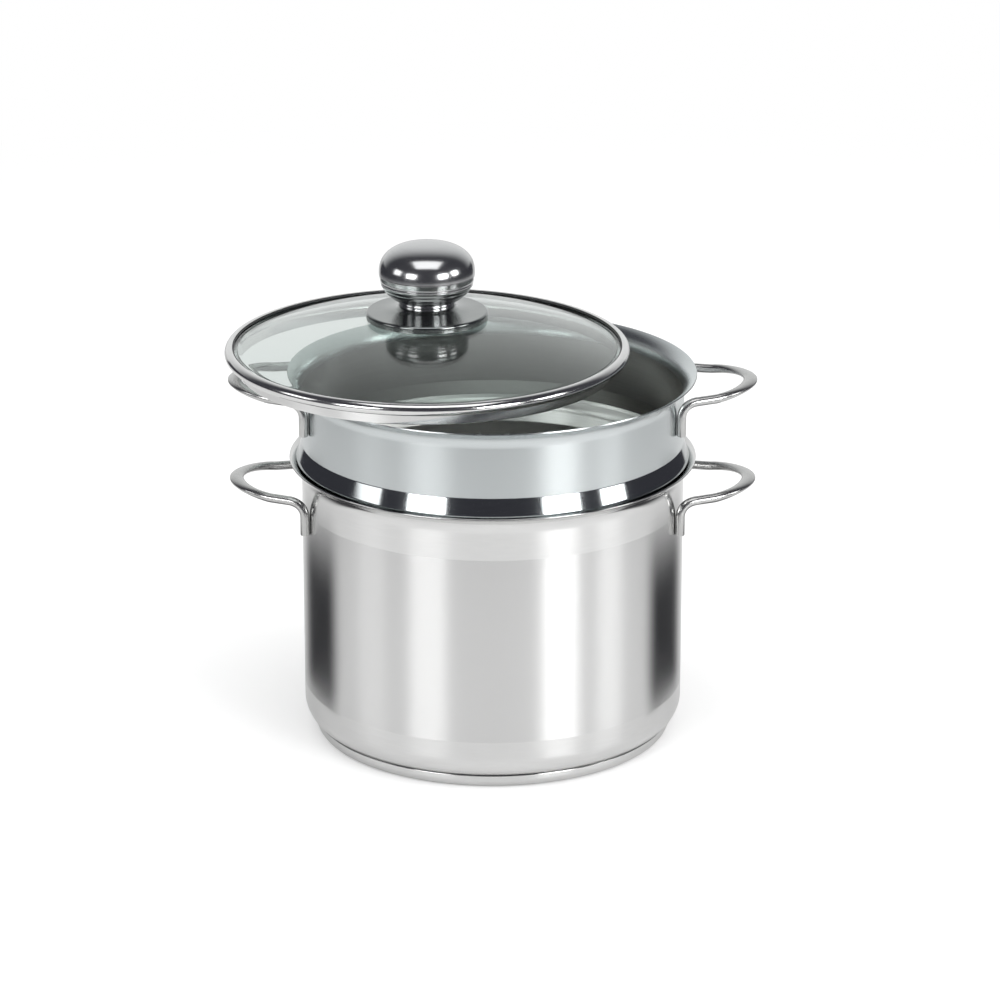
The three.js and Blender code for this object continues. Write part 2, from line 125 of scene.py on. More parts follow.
def metal(name, light, dark, gloss, grain, relief, stretch=0.0):
    """Bare metal whose tone, gloss and relief follow its grain. Stretch draws out its reflections."""
    material, nodes, links, shader = start_material(name)
    shader.inputs["Metallic"].default_value = 1.0
    shader.inputs["Anisotropic"].default_value = stretch
    shader.inputs["Anisotropic Rotation"].default_value = 0.25
    place = nodes.new("ShaderNodeTexCoord")
    mapping = nodes.new("ShaderNodeMapping")
    mapping.inputs["Scale"].default_value = grain
    noise = nodes.new("ShaderNodeTexNoise")
    noise.inputs["Scale"].default_value = 1.0
    noise.inputs["Detail"].default_value = 4.0
    tone = nodes.new("ShaderNodeValToRGB")
    tone.color_ramp.elements[0].color = (*dark, 1.0)
    tone.color_ramp.elements[0].position = 0.3
    tone.color_ramp.elements[1].color = (*light, 1.0)
    tone.color_ramp.elements[1].position = 0.7
    polish = nodes.new("ShaderNodeMapRange")
    polish.inputs["To Min"].default_value = gloss[0]
    polish.inputs["To Max"].default_value = gloss[1]
    bump = nodes.new("ShaderNodeBump")
    bump.inputs["Strength"].default_value = relief
    bump.inputs["Distance"].default_value = 0.00005
    links.new(place.outputs["Object"], mapping.inputs["Vector"])
    links.new(mapping.outputs["Vector"], noise.inputs["Vector"])
    links.new(noise.outputs["Fac"], tone.inputs["Fac"])
    links.new(noise.outputs["Fac"], polish.inputs["Value"])
    links.new(noise.outputs["Fac"], bump.inputs["Height"])
    links.new(tone.outputs["Color"], shader.inputs["Base Color"])
    links.new(polish.outputs["Result"], shader.inputs["Roughness"])
    links.new(bump.outputs["Normal"], shader.inputs["Normal"])
    if stretch:
        tangent = nodes.new("ShaderNodeTangent")
        tangent.direction_type = "RADIAL"
        tangent.axis = "Z"
        links.new(tangent.outputs["Tangent"], shader.inputs["Tangent"])
    return material


def make_object(name, mesh):
    """Makes a finished mesh an object of the scene."""
    data = bpy.data.meshes.new(name)
    mesh.to_mesh(data)
    mesh.free()
    made = bpy.data.objects.new(name, data)
    bpy.context.scene.collection.objects.link(made)
    return made


def add_piece(name, mesh, materials, body, slot, *nodes):
    """Makes a mesh a piece of the pot, which rides on its body and stands for its CAD nodes."""
    piece = make_object(name, mesh)
    piece.data.shade_smooth()
    piece.data.set_sharp_from_angle(angle=SHARP)
    for material in materials:
        piece.data.materials.append(material)
    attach(piece, body)
    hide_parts(*nodes)


disc_low, disc_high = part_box("base_core")
disc_corner = 0.0042
outline = start_outline(0.0, disc_low.z)
line_to(outline, disc_high.x - disc_corner, disc_low.z)
arc_to(outline, disc_high.x - disc_corner, disc_low.z + disc_corner, degrees=90, steps=8)
line_to(outline, disc_high.x, disc_high.z)
line_to(outline, 0.0, disc_high.z)
disc = turn(outline)
soften(disc, width=0.0002)
disc_aluminium = metal("disc_aluminium", light=(0.84, 0.85, 0.86), dark=(0.74, 0.75, 0.77),
                       gloss=(0.35, 0.5), grain=(400.0, 400.0, 400.0), relief=0.3)
add_piece("heat_disc", disc, [disc_aluminium], "pot", "core_aluminium", "base_core")

# Base cap: a shallow steel dish pressed over the heat disc and polished bright.
# Its rolled edge ends just short of the pot's corner and leaves a thin dark seam.
cap_low, cap_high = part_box("base_cap")
cap_corner = 0.005
cap_wall = 0.0006
outline = start_outline(0.0, cap_low.z)
line_to(outline, cap_high.x - cap_corner, cap_low.z)
arc_to(outline, cap_high.x - cap_corner, cap_low.z + cap_corner, degrees=90, steps=12)
line_to(outline, cap_high.x, cap_high.z)
cap = turn(outline, cap_wall)
soften(cap, width=0.0002)
polished_steel = metal("polished_steel", light=(0.74, 0.74, 0.735), dark=(0.71, 0.71, 0.705),
                       gloss=(0.13, 0.16), grain=(90.0, 90.0, 900.0), relief=0.008)
add_piece("base_dish", cap, [polished_steel], "pot", "polished_steel", "base_cap")

# Pot: deep drawn from one steel sheet, with a rounded lower corner and a flared pouring rim.
# The middle of its wall is brushed round and round to a satin, with bright bands left above and below.
pot_low, pot_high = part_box("pot_shell")
pot_wall = 0.0008
pot_corner = 0.013
rim_bend = 0.010
rim_turn = 70
satin_foot = 0.0280
satin_top = 0.1279
wall_radius = pot_high.x - rim_bend * (1 - math.cos(math.radians(rim_turn)))
pot_rim_foot = pot_high.z - (rim_bend + pot_wall) * math.sin(math.radians(rim_turn))


def flare_to(outline, radius, foot):
    """Ends a wall in a pouring rim, bent outwards from its foot."""
    line_to(outline, radius, foot)
    arc_to(outline, radius + rim_bend, foot, degrees=-rim_turn, steps=18)


def lines_vessel(face, rim_foot):
    """Whether a face is part of a vessel's lining: below the rim, looking towards the axis or up."""
    centre = face.calc_center_median()
    outwards = Vector((centre.x, centre.y, 0.0)).normalized()
    return centre.z < rim_foot and face.normal.dot(outwards) < face.normal.z


outline = start_outline(0.0, pot_low.z)
line_to(outline, wall_radius - pot_corner, pot_low.z)
arc_to(outline, wall_radius - pot_corner, pot_low.z + pot_corner, degrees=90, steps=16)
line_to(outline, wall_radius, satin_foot)
line_to(outline, wall_radius, satin_top)
flare_to(outline, wall_radius, pot_rim_foot)
pot = turn(outline, pot_wall)
soften(pot, width=0.0003)
pot.normal_update()
for face in pot.faces:
    height = face.calc_center_median().z
    face.material_index = int(lines_vessel(face, pot_rim_foot) or satin_foot < height < satin_top)
satin_steel = metal("satin_steel", light=(0.775, 0.775, 0.77), dark=(0.75, 0.75, 0.745),
                    gloss=(0.215, 0.24), grain=(10.0, 10.0, 9000.0), relief=0.03, stretch=0.95)
add_piece("pot_body", pot, [polished_steel, satin_steel], "pot", "satin_steel", "pot_shell")

# Pot handles: loops bent from one round steel wire, pressed flat where the hand holds them.
# Their arms draw together towards the grip, and two upright legs are welded to the wall below the rim.
wire = 0.0048
grip_width = 0.0074
grip_thickness = 0.0034
weld_spread = 0.032  # half the width between the legs
arm_spread = 0.0293  # half the width where the arms begin
arm_dip = 0.0008
loop_spread = 0.0262  # half the width where the bow begins
loop_bow = 0.019
loop_rise = 0.0024
leg_drop = 0.019
leg_bend = 0.009
leg_end_round = 0.0004
weld_gap = 0.0001
WIRE_SIDES = 20
UPRIGHT = 0.2  # where less than this share of the wire's run is level, it is one of the legs


def bend(start, corner, end, pull, points):
    """Points of a smooth bend from start to end that turns at a corner."""
    return interpolate_bezier(start, start.lerp(corner, pull), end.lerp(corner, pull), end, points)


def loop_path(grip):
    """Centre line of a handle that points along X, from one leg's end to the other."""
    weld = math.sqrt((wall_radius + weld_gap + wire / 2) ** 2 - weld_spread ** 2)
    leg_top = Vector((weld, weld_spread, -leg_bend))
    arm_start = Vector((weld + leg_bend, arm_spread, -arm_dip))
    arm_end = Vector((grip - loop_bow, loop_spread, -arm_dip / 2))
    taper = (arm_spread - loop_spread) / (arm_end.x - arm_start.x)
    bow_corner = Vector((grip, loop_spread - taper * loop_bow, loop_rise))
    crown = Vector((grip, 0.0, loop_rise))
    half = [Vector((weld, weld_spread, -leg_drop))]
    half += bend(leg_top, Vector((weld, weld_spread, -arm_dip)), arm_start, pull=0.6, points=12)
    half += bend(arm_end, bow_corner, crown, pull=0.55, points=20)
    return half + [Vector((point.x, -point.y, point.z)) for point in reversed(half[:-1])]


def wire_loop(grip, arm_height, turned):
    """A wire swept along the handle's path: round at the legs, wide and flat at the grip."""
    mesh = bmesh.new()
    path = loop_path(grip)
    rings = []
    for i, point in enumerate(path):
        along = (path[min(i + 1, len(path) - 1)] - path[max(i - 1, 0)]).normalized()
        across = Vector((0.0, 0.0, 1.0)).cross(along)
        if across.length < UPRIGHT:
            across = Vector((0.0, math.copysign(1.0, point.y), 0.0))
        across.normalize()
        over = along.cross(across).normalized()
        flat = min(max((point.x - grip + loop_bow) / loop_bow, 0.0), 1.0)
        flat = flat * flat * (3 - 2 * flat)
        wide = wire + (grip_width - wire) * flat
        high = wire + (grip_thickness - wire) * flat
        place = Matrix((across, over, along)).transposed().to_4x4()
        place.translation = point
        size = Matrix.Diagonal((wide / 2, high / 2, 1.0, 1.0))
        ring = bmesh.ops.create_circle(mesh, segments=WIRE_SIDES, radius=1.0,
                                       matrix=place @ size)["verts"]
        rings.append({edge for vert in ring for edge in vert.link_edges})
    for ring, following in zip(rings, rings[1:]):
        bmesh.ops.bridge_loops(mesh, edges=list(ring | following))
    bmesh.ops.holes_fill(mesh, edges=[edge for edge in mesh.edges if edge.is_boundary])
    bmesh.ops.recalc_face_normals(mesh, faces=mesh.faces[:])
    soften(mesh, leg_end_round)
    placed = Matrix.Translation((0.0, 0.0, arm_height)) @ Matrix.Rotation(turned, 4, "Z")
    bmesh.ops.transform(mesh, matrix=placed, verts=mesh.verts[:])
    return mesh


wire_steel = metal("wire_steel", light=(0.55, 0.55, 0.545), dark=(0.51, 0.51, 0.505),
                   gloss=(0.22, 0.28), grain=(300.0, 300.0, 300.0), relief=0.01)


def add_handles(vessel):
    """Puts a loop on both sides of the pot or the basket."""
    for side, turned in (("right", 0.0), ("left", math.pi)):
        node = vessel + "_handle_" + side
        low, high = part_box(node)
        loop = wire_loop(max(high.x, -low.x) - grip_width / 2, low.z + leg_drop, turned)
        add_piece(vessel + "_loop_" + side, loop, [wire_steel], vessel, "satin_steel", node)


add_handles("pot")

# Basket: a strainer drawn from thinner steel sheet that hangs in the pot by the bead under its collar.
# The collar stands above the pot with a pouring rim of its own. The wall and the floor below it are
# punched with drain holes, and the wall is brushed outside as the pot's is.
basket_low, basket_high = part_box("basket_shell")
basket_wall = 0.0006
basket_radius = 0.0975
basket_corner = 0.012
seat_gap = 0.0003
seat_start = 12  # degrees round the pot's rim, from where the bead lies on it
seat_end = 46
seat_lead = 0.004
bead_proud = 0.0028
bead_nose = 0.0012
nose_start = 45  # degrees below level
shoulder_tilt = math.radians(18)
hole_radius = 0.0026
hole_sides = 16
hole_columns = 40
hole_row_pitch = 0.009
hole_margin = 0.007
hole_ring_pitch = 0.015
hole_rings = 5
ring_holes = 6  # on the innermost ring, and as many more on each ring outwards
hole_rows = 7
SEAM = 0.00002  # stretches of the basket that lie this close are joined
BEAD, COLLAR, LINING, PUNCHED = range(4)  # finishes, in the order of the piece's materials
basket_rim_foot = basket_high.z - (rim_bend + basket_wall) * math.sin(math.radians(rim_turn))
corner_top = basket_low.z + basket_corner
punched_foot = corner_top + hole_margin - hole_row_pitch / 2
punched_top = punched_foot + hole_rows * hole_row_pitch


def verts_among(geom):
    """The vertices among what an operator has made."""
    return [item for item in geom if isinstance(item, bmesh.types.BMVert)]


def punched_wall():
    """The straight wall as a flat sheet of cells, each with a round hole, rolled up to a tube."""
    sheet = bmesh.new()
    pitch = 2 * math.pi * basket_radius / hole_columns
    corners = Matrix.Rotation(math.radians(45), 4, "Z")
    cell = Matrix.Diagonal((pitch / math.sqrt(2), hole_row_pitch / math.sqrt(2), 1.0, 1.0))
    bmesh.ops.create_circle(sheet, segments=4, radius=1.0, matrix=cell @ corners)
    bmesh.ops.subdivide_edges(sheet, edges=sheet.edges[:], cuts=hole_sides // 4 - 1)
    bmesh.ops.create_circle(sheet, segments=hole_sides, radius=hole_radius, matrix=corners)
    bmesh.ops.bridge_loops(sheet, edges=sheet.edges[:])
    first = sheet.verts[:] + sheet.edges[:] + sheet.faces[:]
    for row in range(hole_rows):
        for column in range(hole_columns):
            copy = bmesh.ops.duplicate(sheet, geom=first)["geom"]
            shift = ((column + 0.5 * (row + 1)) * pitch, (row + 0.5) * hole_row_pitch, 0.0)
            bmesh.ops.translate(sheet, vec=shift, verts=verts_among(copy))
    bmesh.ops.delete(sheet, geom=verts_among(first), context="VERTS")
    for vert in sheet.verts:
        angle = vert.co.x / basket_radius
        vert.co = Vector((math.cos(angle) * basket_radius, math.sin(angle) * basket_radius,
                          punched_foot + vert.co.y))
    return sheet


def join_mesh(mesh, other):
    """Adds another mesh to this one."""
    data = bpy.data.meshes.new("joined")
    other.to_mesh(data)
    other.free()
    mesh.from_mesh(data)
    bpy.data.meshes.remove(data)


basket = punched_wall()
outline = start_outline(basket_radius - basket_corner, basket_low.z)
arc_to(outline, basket_radius - basket_corner, corner_top, degrees=90, steps=14)
line_to(outline, basket_radius, punched_foot)
join_mesh(basket, turn(outline))

seat_radius = rim_bend + pot_wall + seat_gap
seat_centre = wall_radius + rim_bend
nose_centre = wall_radius + bead_proud - bead_nose
seat_entry = math.radians(180 - seat_start)
slope_start = nose_centre + bead_nose * math.cos(shoulder_tilt)
slope_height = (slope_start - wall_radius) / math.tan(shoulder_tilt)
collar_foot = pot_high.z + bead_nose * math.sin(shoulder_tilt) + slope_height
outline = start_outline(basket_radius, punched_top)
line_to(outline, basket_radius, pot_rim_foot - seat_lead)
line_to(outline, seat_centre + seat_radius * math.cos(seat_entry),
        pot_rim_foot + seat_radius * math.sin(seat_entry))
arc_to(outline, seat_centre, pot_rim_foot, degrees=seat_start - seat_end, steps=12)
nose_side = bead_nose * math.sin(math.radians(nose_start))
line_to(outline, nose_centre + nose_side, pot_high.z - nose_side)
arc_to(outline, nose_centre, pot_high.z, degrees=nose_start + math.degrees(shoulder_tilt), steps=8)
line_to(outline, wall_radius, collar_foot)
flare_to(outline, wall_radius, basket_rim_foot)
join_mesh(basket, turn(outline))

strainer_floor = bmesh.new()
at_floor = Matrix.Translation((0.0, 0.0, basket_low.z))
bmesh.ops.create_circle(strainer_floor, segments=TURN_STEPS, radius=basket_radius - basket_corner,
                        matrix=at_floor)
bmesh.ops.create_circle(strainer_floor, segments=hole_sides, radius=hole_radius, matrix=at_floor)
for ring in range(1, hole_rings + 1):
    for i in range(ring_holes * ring):
        spoke = Matrix.Rotation(i * 2 * math.pi / (ring_holes * ring), 4, "Z")
        place = at_floor @ spoke @ Matrix.Translation((ring * hole_ring_pitch, 0.0, 0.0))
        bmesh.ops.create_circle(strainer_floor, segments=hole_sides, radius=hole_radius, matrix=place)
bmesh.ops.triangle_fill(strainer_floor, edges=strainer_floor.edges[:], use_beauty=True)
join_mesh(basket, strainer_floor)

bmesh.ops.remove_doubles(basket, verts=basket.verts[:], dist=SEAM)
bmesh.ops.recalc_face_normals(basket, faces=basket.faces[:])
lowest = min(basket.faces, key=lambda face: face.calc_center_median().z)
if lowest.normal.z > 0:
    bmesh.ops.reverse_faces(basket, faces=basket.faces[:])
bmesh.ops.solidify(basket, geom=basket.faces[:], thickness=basket_wall)
basket.normal_update()
for face in basket.faces:
    height = face.calc_center_median().z
    face.material_index = COLLAR if height > collar_foot else BEAD
    if lines_vessel(face, basket_rim_foot):
        face.material_index = LINING
    elif height < pot_rim_foot - seat_lead:
        face.material_index = PUNCHED
# The bead's steel and the collar's steel are tinted blue, a painted reflection of the room's cool
# light. The bead's steel is also darker than the collar's.
bead_steel_room_light_tint = metal("bead_steel_room_light_tint", light=(0.54, 0.57, 0.575), dark=(0.51, 0.54, 0.545),
                   gloss=(0.07, 0.10), grain=(90.0, 90.0, 900.0), relief=0.008)
collar_steel_room_light_tint = metal("collar_steel_room_light_tint", light=(0.66, 0.695, 0.70), dark=(0.64, 0.675, 0.68),
                     gloss=(0.25, 0.28), grain=(10.0, 10.0, 9000.0), relief=0.01, stretch=0.7)
lining_steel = metal("lining_steel", light=(0.61, 0.61, 0.60), dark=(0.55, 0.55, 0.54),
                     gloss=(0.26, 0.34), grain=(20.0, 20.0, 3000.0), relief=0.06)
add_piece("strainer_basket", basket, [bead_steel_room_light_tint, collar_steel_room_light_tint, lining_steel, satin_steel], "basket",
          "polished_steel", "basket_shell")

# Basket handles: the same wire loops as on the pot, and right above them when the basket is in place.
# Their legs are welded to the collar below its rim.
add_handles("basket")

# Lid glass: a shallow dome of tempered glass, flat at its edge for the band and on top for the knob.
# Its edges are ground round, and a hole in the crown takes the knob's screw.
glass_low, glass_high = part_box("lid_glass")
lid_axis = (glass_low + glass_high) / 2
lid_shift = Matrix.Translation((lid_axis.x, lid_axis.y, 0.0))
glass_radius = (glass_high.x - glass_low.x) / 2
glass_thickness = 0.0035
glass_land = 0.0038
crown_radius = 0.013
shaft_hole = 0.0032
crown_low = glass_high.z - glass_thickness
dome_span = glass_radius - glass_land
dome_drop = glass_low.z - crown_low
dome_centre = (dome_span ** 2 + glass_low.z ** 2 - crown_radius ** 2 - crown_low ** 2) / (2 * dome_drop)
dome_start = math.degrees(math.atan2(crown_low - dome_centre, crown_radius))
dome_end = math.degrees(math.atan2(glass_low.z - dome_centre, dome_span))


def on_lid(mesh):
    """Moves a piece from the pot's axis to the lid's."""
    bmesh.ops.transform(mesh, matrix=lid_shift, verts=mesh.verts[:])
    return mesh


def clear_glass():
    """Clear glass with a faint green tint, very slightly uneven."""
    material, nodes, links, shader = start_material("clear_glass")
    shader.inputs["Transmission Weight"].default_value = 1.0
    shader.inputs["IOR"].default_value = 1.5
    shader.inputs["Roughness"].default_value = 0.0
    place = nodes.new("ShaderNodeTexCoord")
    noise = nodes.new("ShaderNodeTexNoise")
    noise.inputs["Scale"].default_value = 18.0
    tint = nodes.new("ShaderNodeValToRGB")
    tint.color_ramp.elements[0].color = (0.68, 0.735, 0.715, 1.0)
    tint.color_ramp.elements[1].color = (0.70, 0.755, 0.735, 1.0)
    bump = nodes.new("ShaderNodeBump")
    bump.inputs["Strength"].default_value = 0.02
    bump.inputs["Distance"].default_value = 0.0005
    links.new(place.outputs["Object"], noise.inputs["Vector"])
    links.new(noise.outputs["Fac"], tint.inputs["Fac"])
    links.new(noise.outputs["Fac"], bump.inputs["Height"])
    links.new(tint.outputs["Color"], shader.inputs["Base Color"])
    links.new(bump.outputs["Normal"], shader.inputs["Normal"])
    return material


outline = start_outline(shaft_hole, crown_low)
line_to(outline, crown_radius, crown_low)
arc_to(outline, 0.0, dome_centre, degrees=dome_end - dome_start, steps=32)
line_to(outline, glass_radius, glass_low.z)
glass = turn(outline, glass_thickness)
soften(glass, width=0.0008, segments=3)
add_piece("domed_glass", on_lid(glass), [clear_glass()], "lid", "clear_glass", "lid_glass")

# Edge seal: a soft silicone channel moulded to the glass's edge.
# The steel band is crimped over it, and its lip shows as a thin dark line on the glass.
seal_low, seal_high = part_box("lid_seal")
seal_radius = (seal_high.x - seal_low.x) / 2
seal_wall = 0.0006
seal_corner = 0.0008
seal_shown = 0.0007
band_crimp = 0.0042
band_low, band_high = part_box("lid_band")
band_radius = (band_high.x - band_low.x) / 2
band_lip = band_radius - band_crimp
seal_lip = band_lip - seal_shown


def silicone(name, colour):
    """Matt dark silicone with a fine moulded skin."""
    material, nodes, links, shader = start_material(name)
    place = nodes.new("ShaderNodeTexCoord")
    noise = nodes.new("ShaderNodeTexNoise")
    noise.inputs["Scale"].default_value = 1500.0
    tone = nodes.new("ShaderNodeValToRGB")
    tone.color_ramp.elements[0].color = (*(0.8 * c for c in colour), 1.0)
    tone.color_ramp.elements[1].color = (*colour, 1.0)
    polish = nodes.new("ShaderNodeMapRange")
    polish.inputs["To Min"].default_value = 0.42
    polish.inputs["To Max"].default_value = 0.58
    bump = nodes.new("ShaderNodeBump")
    bump.inputs["Strength"].default_value = 0.2
    bump.inputs["Distance"].default_value = 0.00005
    links.new(place.outputs["Object"], noise.inputs["Vector"])
    links.new(noise.outputs["Fac"], tone.inputs["Fac"])
    links.new(noise.outputs["Fac"], polish.inputs["Value"])
    links.new(noise.outputs["Fac"], bump.inputs["Height"])
    links.new(tone.outputs["Color"], shader.inputs["Base Color"])
    links.new(polish.outputs["Result"], shader.inputs["Roughness"])
    links.new(bump.outputs["Normal"], shader.inputs["Normal"])
    return material


dark_silicone = silicone("dark_silicone", (0.045, 0.046, 0.048))
outline = start_outline(seal_lip, seal_low.z)
line_to(outline, seal_radius - seal_corner, seal_low.z)
arc_to(outline, seal_radius - seal_corner, seal_low.z + seal_corner, degrees=90, steps=6)
line_to(outline, seal_radius, seal_high.z - seal_corner)
arc_to(outline, seal_radius - seal_corner, seal_high.z - seal_corner, degrees=90, steps=6)
line_to(outline, seal_lip, seal_high.z)
seal = turn(outline, seal_wall)
soften(seal, width=0.0002)
add_piece("edge_seal", on_lid(seal), [dark_silicone], "lid", "silicone", "lid_seal")

# Lid band: a strip of thin polished steel rolled round the glass.
# Its upper part is crimped over the seal as a smooth bead, and its skirt drops inside the basket's rim.
band_wall = 0.0005
skirt_inset = 0.0073
band_skirt = band_radius - skirt_inset
band_fillet = 0.0008
band_gap = 0.00015
bead_turn = 180 + 18
bead_low = seal_low.z - band_gap - band_wall
bead_round = (band_high.z - bead_low) / 2
outline = start_outline(band_skirt, band_low.z)
line_to(outline, band_skirt, bead_low - band_fillet)
arc_to(outline, band_skirt + band_fillet, bead_low - band_fillet, degrees=-90, steps=6)
line_to(outline, band_radius - bead_round, bead_low)
arc_to(outline, band_radius - bead_round, bead_low + bead_round, degrees=bead_turn, steps=36)
band = turn(outline, band_wall)
soften(band, width=0.00015)
add_piece("rolled_band", on_lid(band), [polished_steel], "lid", "polished_steel", "lid_band")

# Knob dish: a small turned steel dish between the knob and the glass.
# It spreads the knob's pull, with a rounded edge and a trumpet curve up to the knob's neck.
KNOB_STEPS = 96
dish_low, dish_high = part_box("knob_skirt")
dish_radius = (dish_high.x - dish_low.x) / 2
dish_wall = 0.001
dish_edge = 0.0038
dish_round = 0.0012
neck_radius = 0.015
trumpet_points = 64
ring_pitch = 0.0014
ring_depth = 0.00022
trumpet_rings = 2 * ring_pitch


def curve_to(outline, corner, end, pull, points):
    """Draws a smooth bend that turns at a corner."""
    start = outline_tip(outline).co.copy()
    corner = Vector((corner[0], 0.0, corner[1]))
    end = Vector((end[0], 0.0, end[1]))
    for point in bend(start, corner, end, pull, points)[1:]:
        draw_to(outline, point)


def ring_grooves(outline, foot, rise, pitch, depth):
    """Cuts turning rings, round-backed with sharp grooves between, into a stretch of an outline."""
    for vert in outline.verts:
        run = vert.co.z - foot
        if 0 <= run < rise + MERGE:
            vert.co.x -= depth * (2 * (run / pitch % 1.0) - 1) ** 2


outline = start_outline(dish_radius, dish_low.z)
line_to(outline, dish_radius, dish_low.z + dish_edge - dish_round)
arc_to(outline, dish_radius - dish_round, dish_low.z + dish_edge - dish_round, degrees=90, steps=10)
curve_to(outline, (neck_radius + dish_wall, dish_low.z + dish_edge), (neck_radius, dish_high.z),
         pull=0.67, points=trumpet_points)
ring_grooves(outline, dish_high.z - trumpet_rings, trumpet_rings, ring_pitch, ring_depth)
line_to(outline, shaft_hole, dish_high.z)
dish = turn(outline, dish_wall, KNOB_STEPS)
soften(dish, width=0.0002)
# The dish's steel is painted far darker than the knob's: painted shade that stands for the shadow and
# the dark reflections under the ball.
dish_steel_painted_shade = metal("dish_steel_painted_shade", light=(0.32, 0.335, 0.33), dark=(0.29, 0.305, 0.30),
                   gloss=(0.14, 0.18), grain=(60.0, 60.0, 1500.0), relief=0.01)
add_piece("knob_dish", on_lid(dish), [dish_steel_painted_shade], "lid", "polished_steel", "knob_skirt")

# Knob: a hollow steel ball, turned in two halves and pressed together at its widest ring.
# The lower half stands on a ringed neck and keeps turning rings; the upper half is polished smooth.
knob_steel = metal("knob_steel", light=(0.60, 0.605, 0.61), dark=(0.56, 0.565, 0.57),
                   gloss=(0.16, 0.20), grain=(60.0, 60.0, 1500.0), relief=0.01)
neck_low, neck_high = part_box("knob_neck")
crest_low, crest_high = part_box("knob_cap")
knob_radius = (crest_high.x - crest_low.x) / 2
knob_wall = 0.0012
knob_fit = 0.00025
spigot_length = 0.0025
knob_fullness = 2 / 2.5
neck_rings = 2 * ring_pitch
neck_points = 48
ball_rings = 0.0105
ball_ring_count = 3
ball_ring_depth = 0.00035
ball_points = 120
ball_corner = 0.0007
ball_fullness = 0.35
ball_taper = 0.0006
straight_from = neck_high.z - spigot_length - knob_fit

outline = start_outline(shaft_hole, neck_low.z)
line_to(outline, neck_radius, neck_low.z)
neck_top = neck_low.z + neck_rings
curve_to(outline, (neck_radius, neck_low.z + neck_rings / 2), (neck_radius, neck_top),
         pull=2 / 3, points=neck_points)
curve_to(outline, (knob_radius - ball_corner, neck_top + (straight_from - neck_top) * ball_fullness),
         (knob_radius - ball_taper, straight_from), pull=0.6, points=ball_points)
ring_grooves(outline, neck_low.z, neck_rings, ring_pitch, ring_depth)
ring_grooves(outline, neck_top + MERGE, ball_rings, ball_rings / ball_ring_count, ball_ring_depth)
line_to(outline, knob_radius, neck_high.z)
lower_half = turn(outline, knob_wall, KNOB_STEPS)
soften(lower_half, width=0.0001)
add_piece("knob_lower_half", on_lid(lower_half), [knob_steel], "lid", "polished_steel", "knob_neck")

crest_foot = crest_low.z + spigot_length
crest_rise = crest_high.z - crest_foot
spigot = knob_radius - knob_wall - knob_fit
crest_points = 40


def dome_to(outline, radius, rise, shares):
    """Draws the ball's upper outline, a full round that is flattened on top."""
    for share in shares:
        turned_up = share * math.pi / 2
        draw_to(outline, (radius * max(math.cos(turned_up), 0.0) ** knob_fullness, 0.0,
                          crest_foot + rise * math.sin(turned_up) ** knob_fullness))


outline = start_outline(spigot - knob_wall, crest_low.z)
line_to(outline, spigot, crest_low.z)
line_to(outline, spigot, crest_foot)
line_to(outline, knob_radius, crest_foot)
rising = [(i + 1) / crest_points for i in range(crest_points)]
dome_to(outline, knob_radius, crest_rise, rising)
outline.verts.new((0.0, 0.0, crest_high.z - knob_wall))
dome_to(outline, spigot - knob_wall, crest_rise - knob_wall, [1 - share for share in rising])
line_to(outline, spigot - knob_wall, crest_low.z)
upper_half = turn(outline, steps=KNOB_STEPS)
add_piece("knob_upper_half", on_lid(upper_half), [knob_steel], "lid", "polished_steel", "knob_cap")

# Knob fixing: a threaded boss inside the knob and a screw from under the glass, with a steel washer.
# Two silicone pads keep steel off the glass, one under the dish and one above the washer.
boss_low, boss_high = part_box("knob_nut")
bolt_low, bolt_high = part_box("knob_screw")
washer_low, washer_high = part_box("screw_washer")
bolt_radius = 0.0025
bolt_head = 0.0030
socket_radius = 0.0022
socket_depth = 0.0016
thread_play = 0.0002
SMALL_STEPS = 48


def plain_ring(low, high, bore, round_off):
    """A flat ring, as wide and high as its box, with rounded edges."""
    radius = (high.x - low.x) / 2
    ring = start_outline(bore, low.z)
    line_to(ring, radius, low.z)
    line_to(ring, radius, high.z)
    line_to(ring, bore, high.z)
    line_to(ring, bore, low.z)
    mesh = turn(ring, steps=SMALL_STEPS)
    soften(mesh, round_off)
    return on_lid(mesh)


boss = bmesh.new()
boss_radius = (boss_high.x - boss_low.x) / 2
at_foot = Matrix.Translation((0.0, 0.0, boss_low.z))
bmesh.ops.create_circle(boss, segments=6, radius=boss_radius, matrix=at_foot)
bmesh.ops.create_circle(boss, segments=SMALL_STEPS, radius=bolt_radius + thread_play, matrix=at_foot)
bmesh.ops.triangle_fill(boss, edges=boss.edges[:], use_beauty=True)
raised = bmesh.ops.extrude_face_region(boss, geom=boss.faces[:])["geom"]
bmesh.ops.translate(boss, vec=(0.0, 0.0, boss_high.z - boss_low.z), verts=verts_among(raised))
bmesh.ops.recalc_face_normals(boss, faces=boss.faces[:])
add_piece("knob_boss", on_lid(boss), [wire_steel], "lid", "satin_steel", "knob_nut")

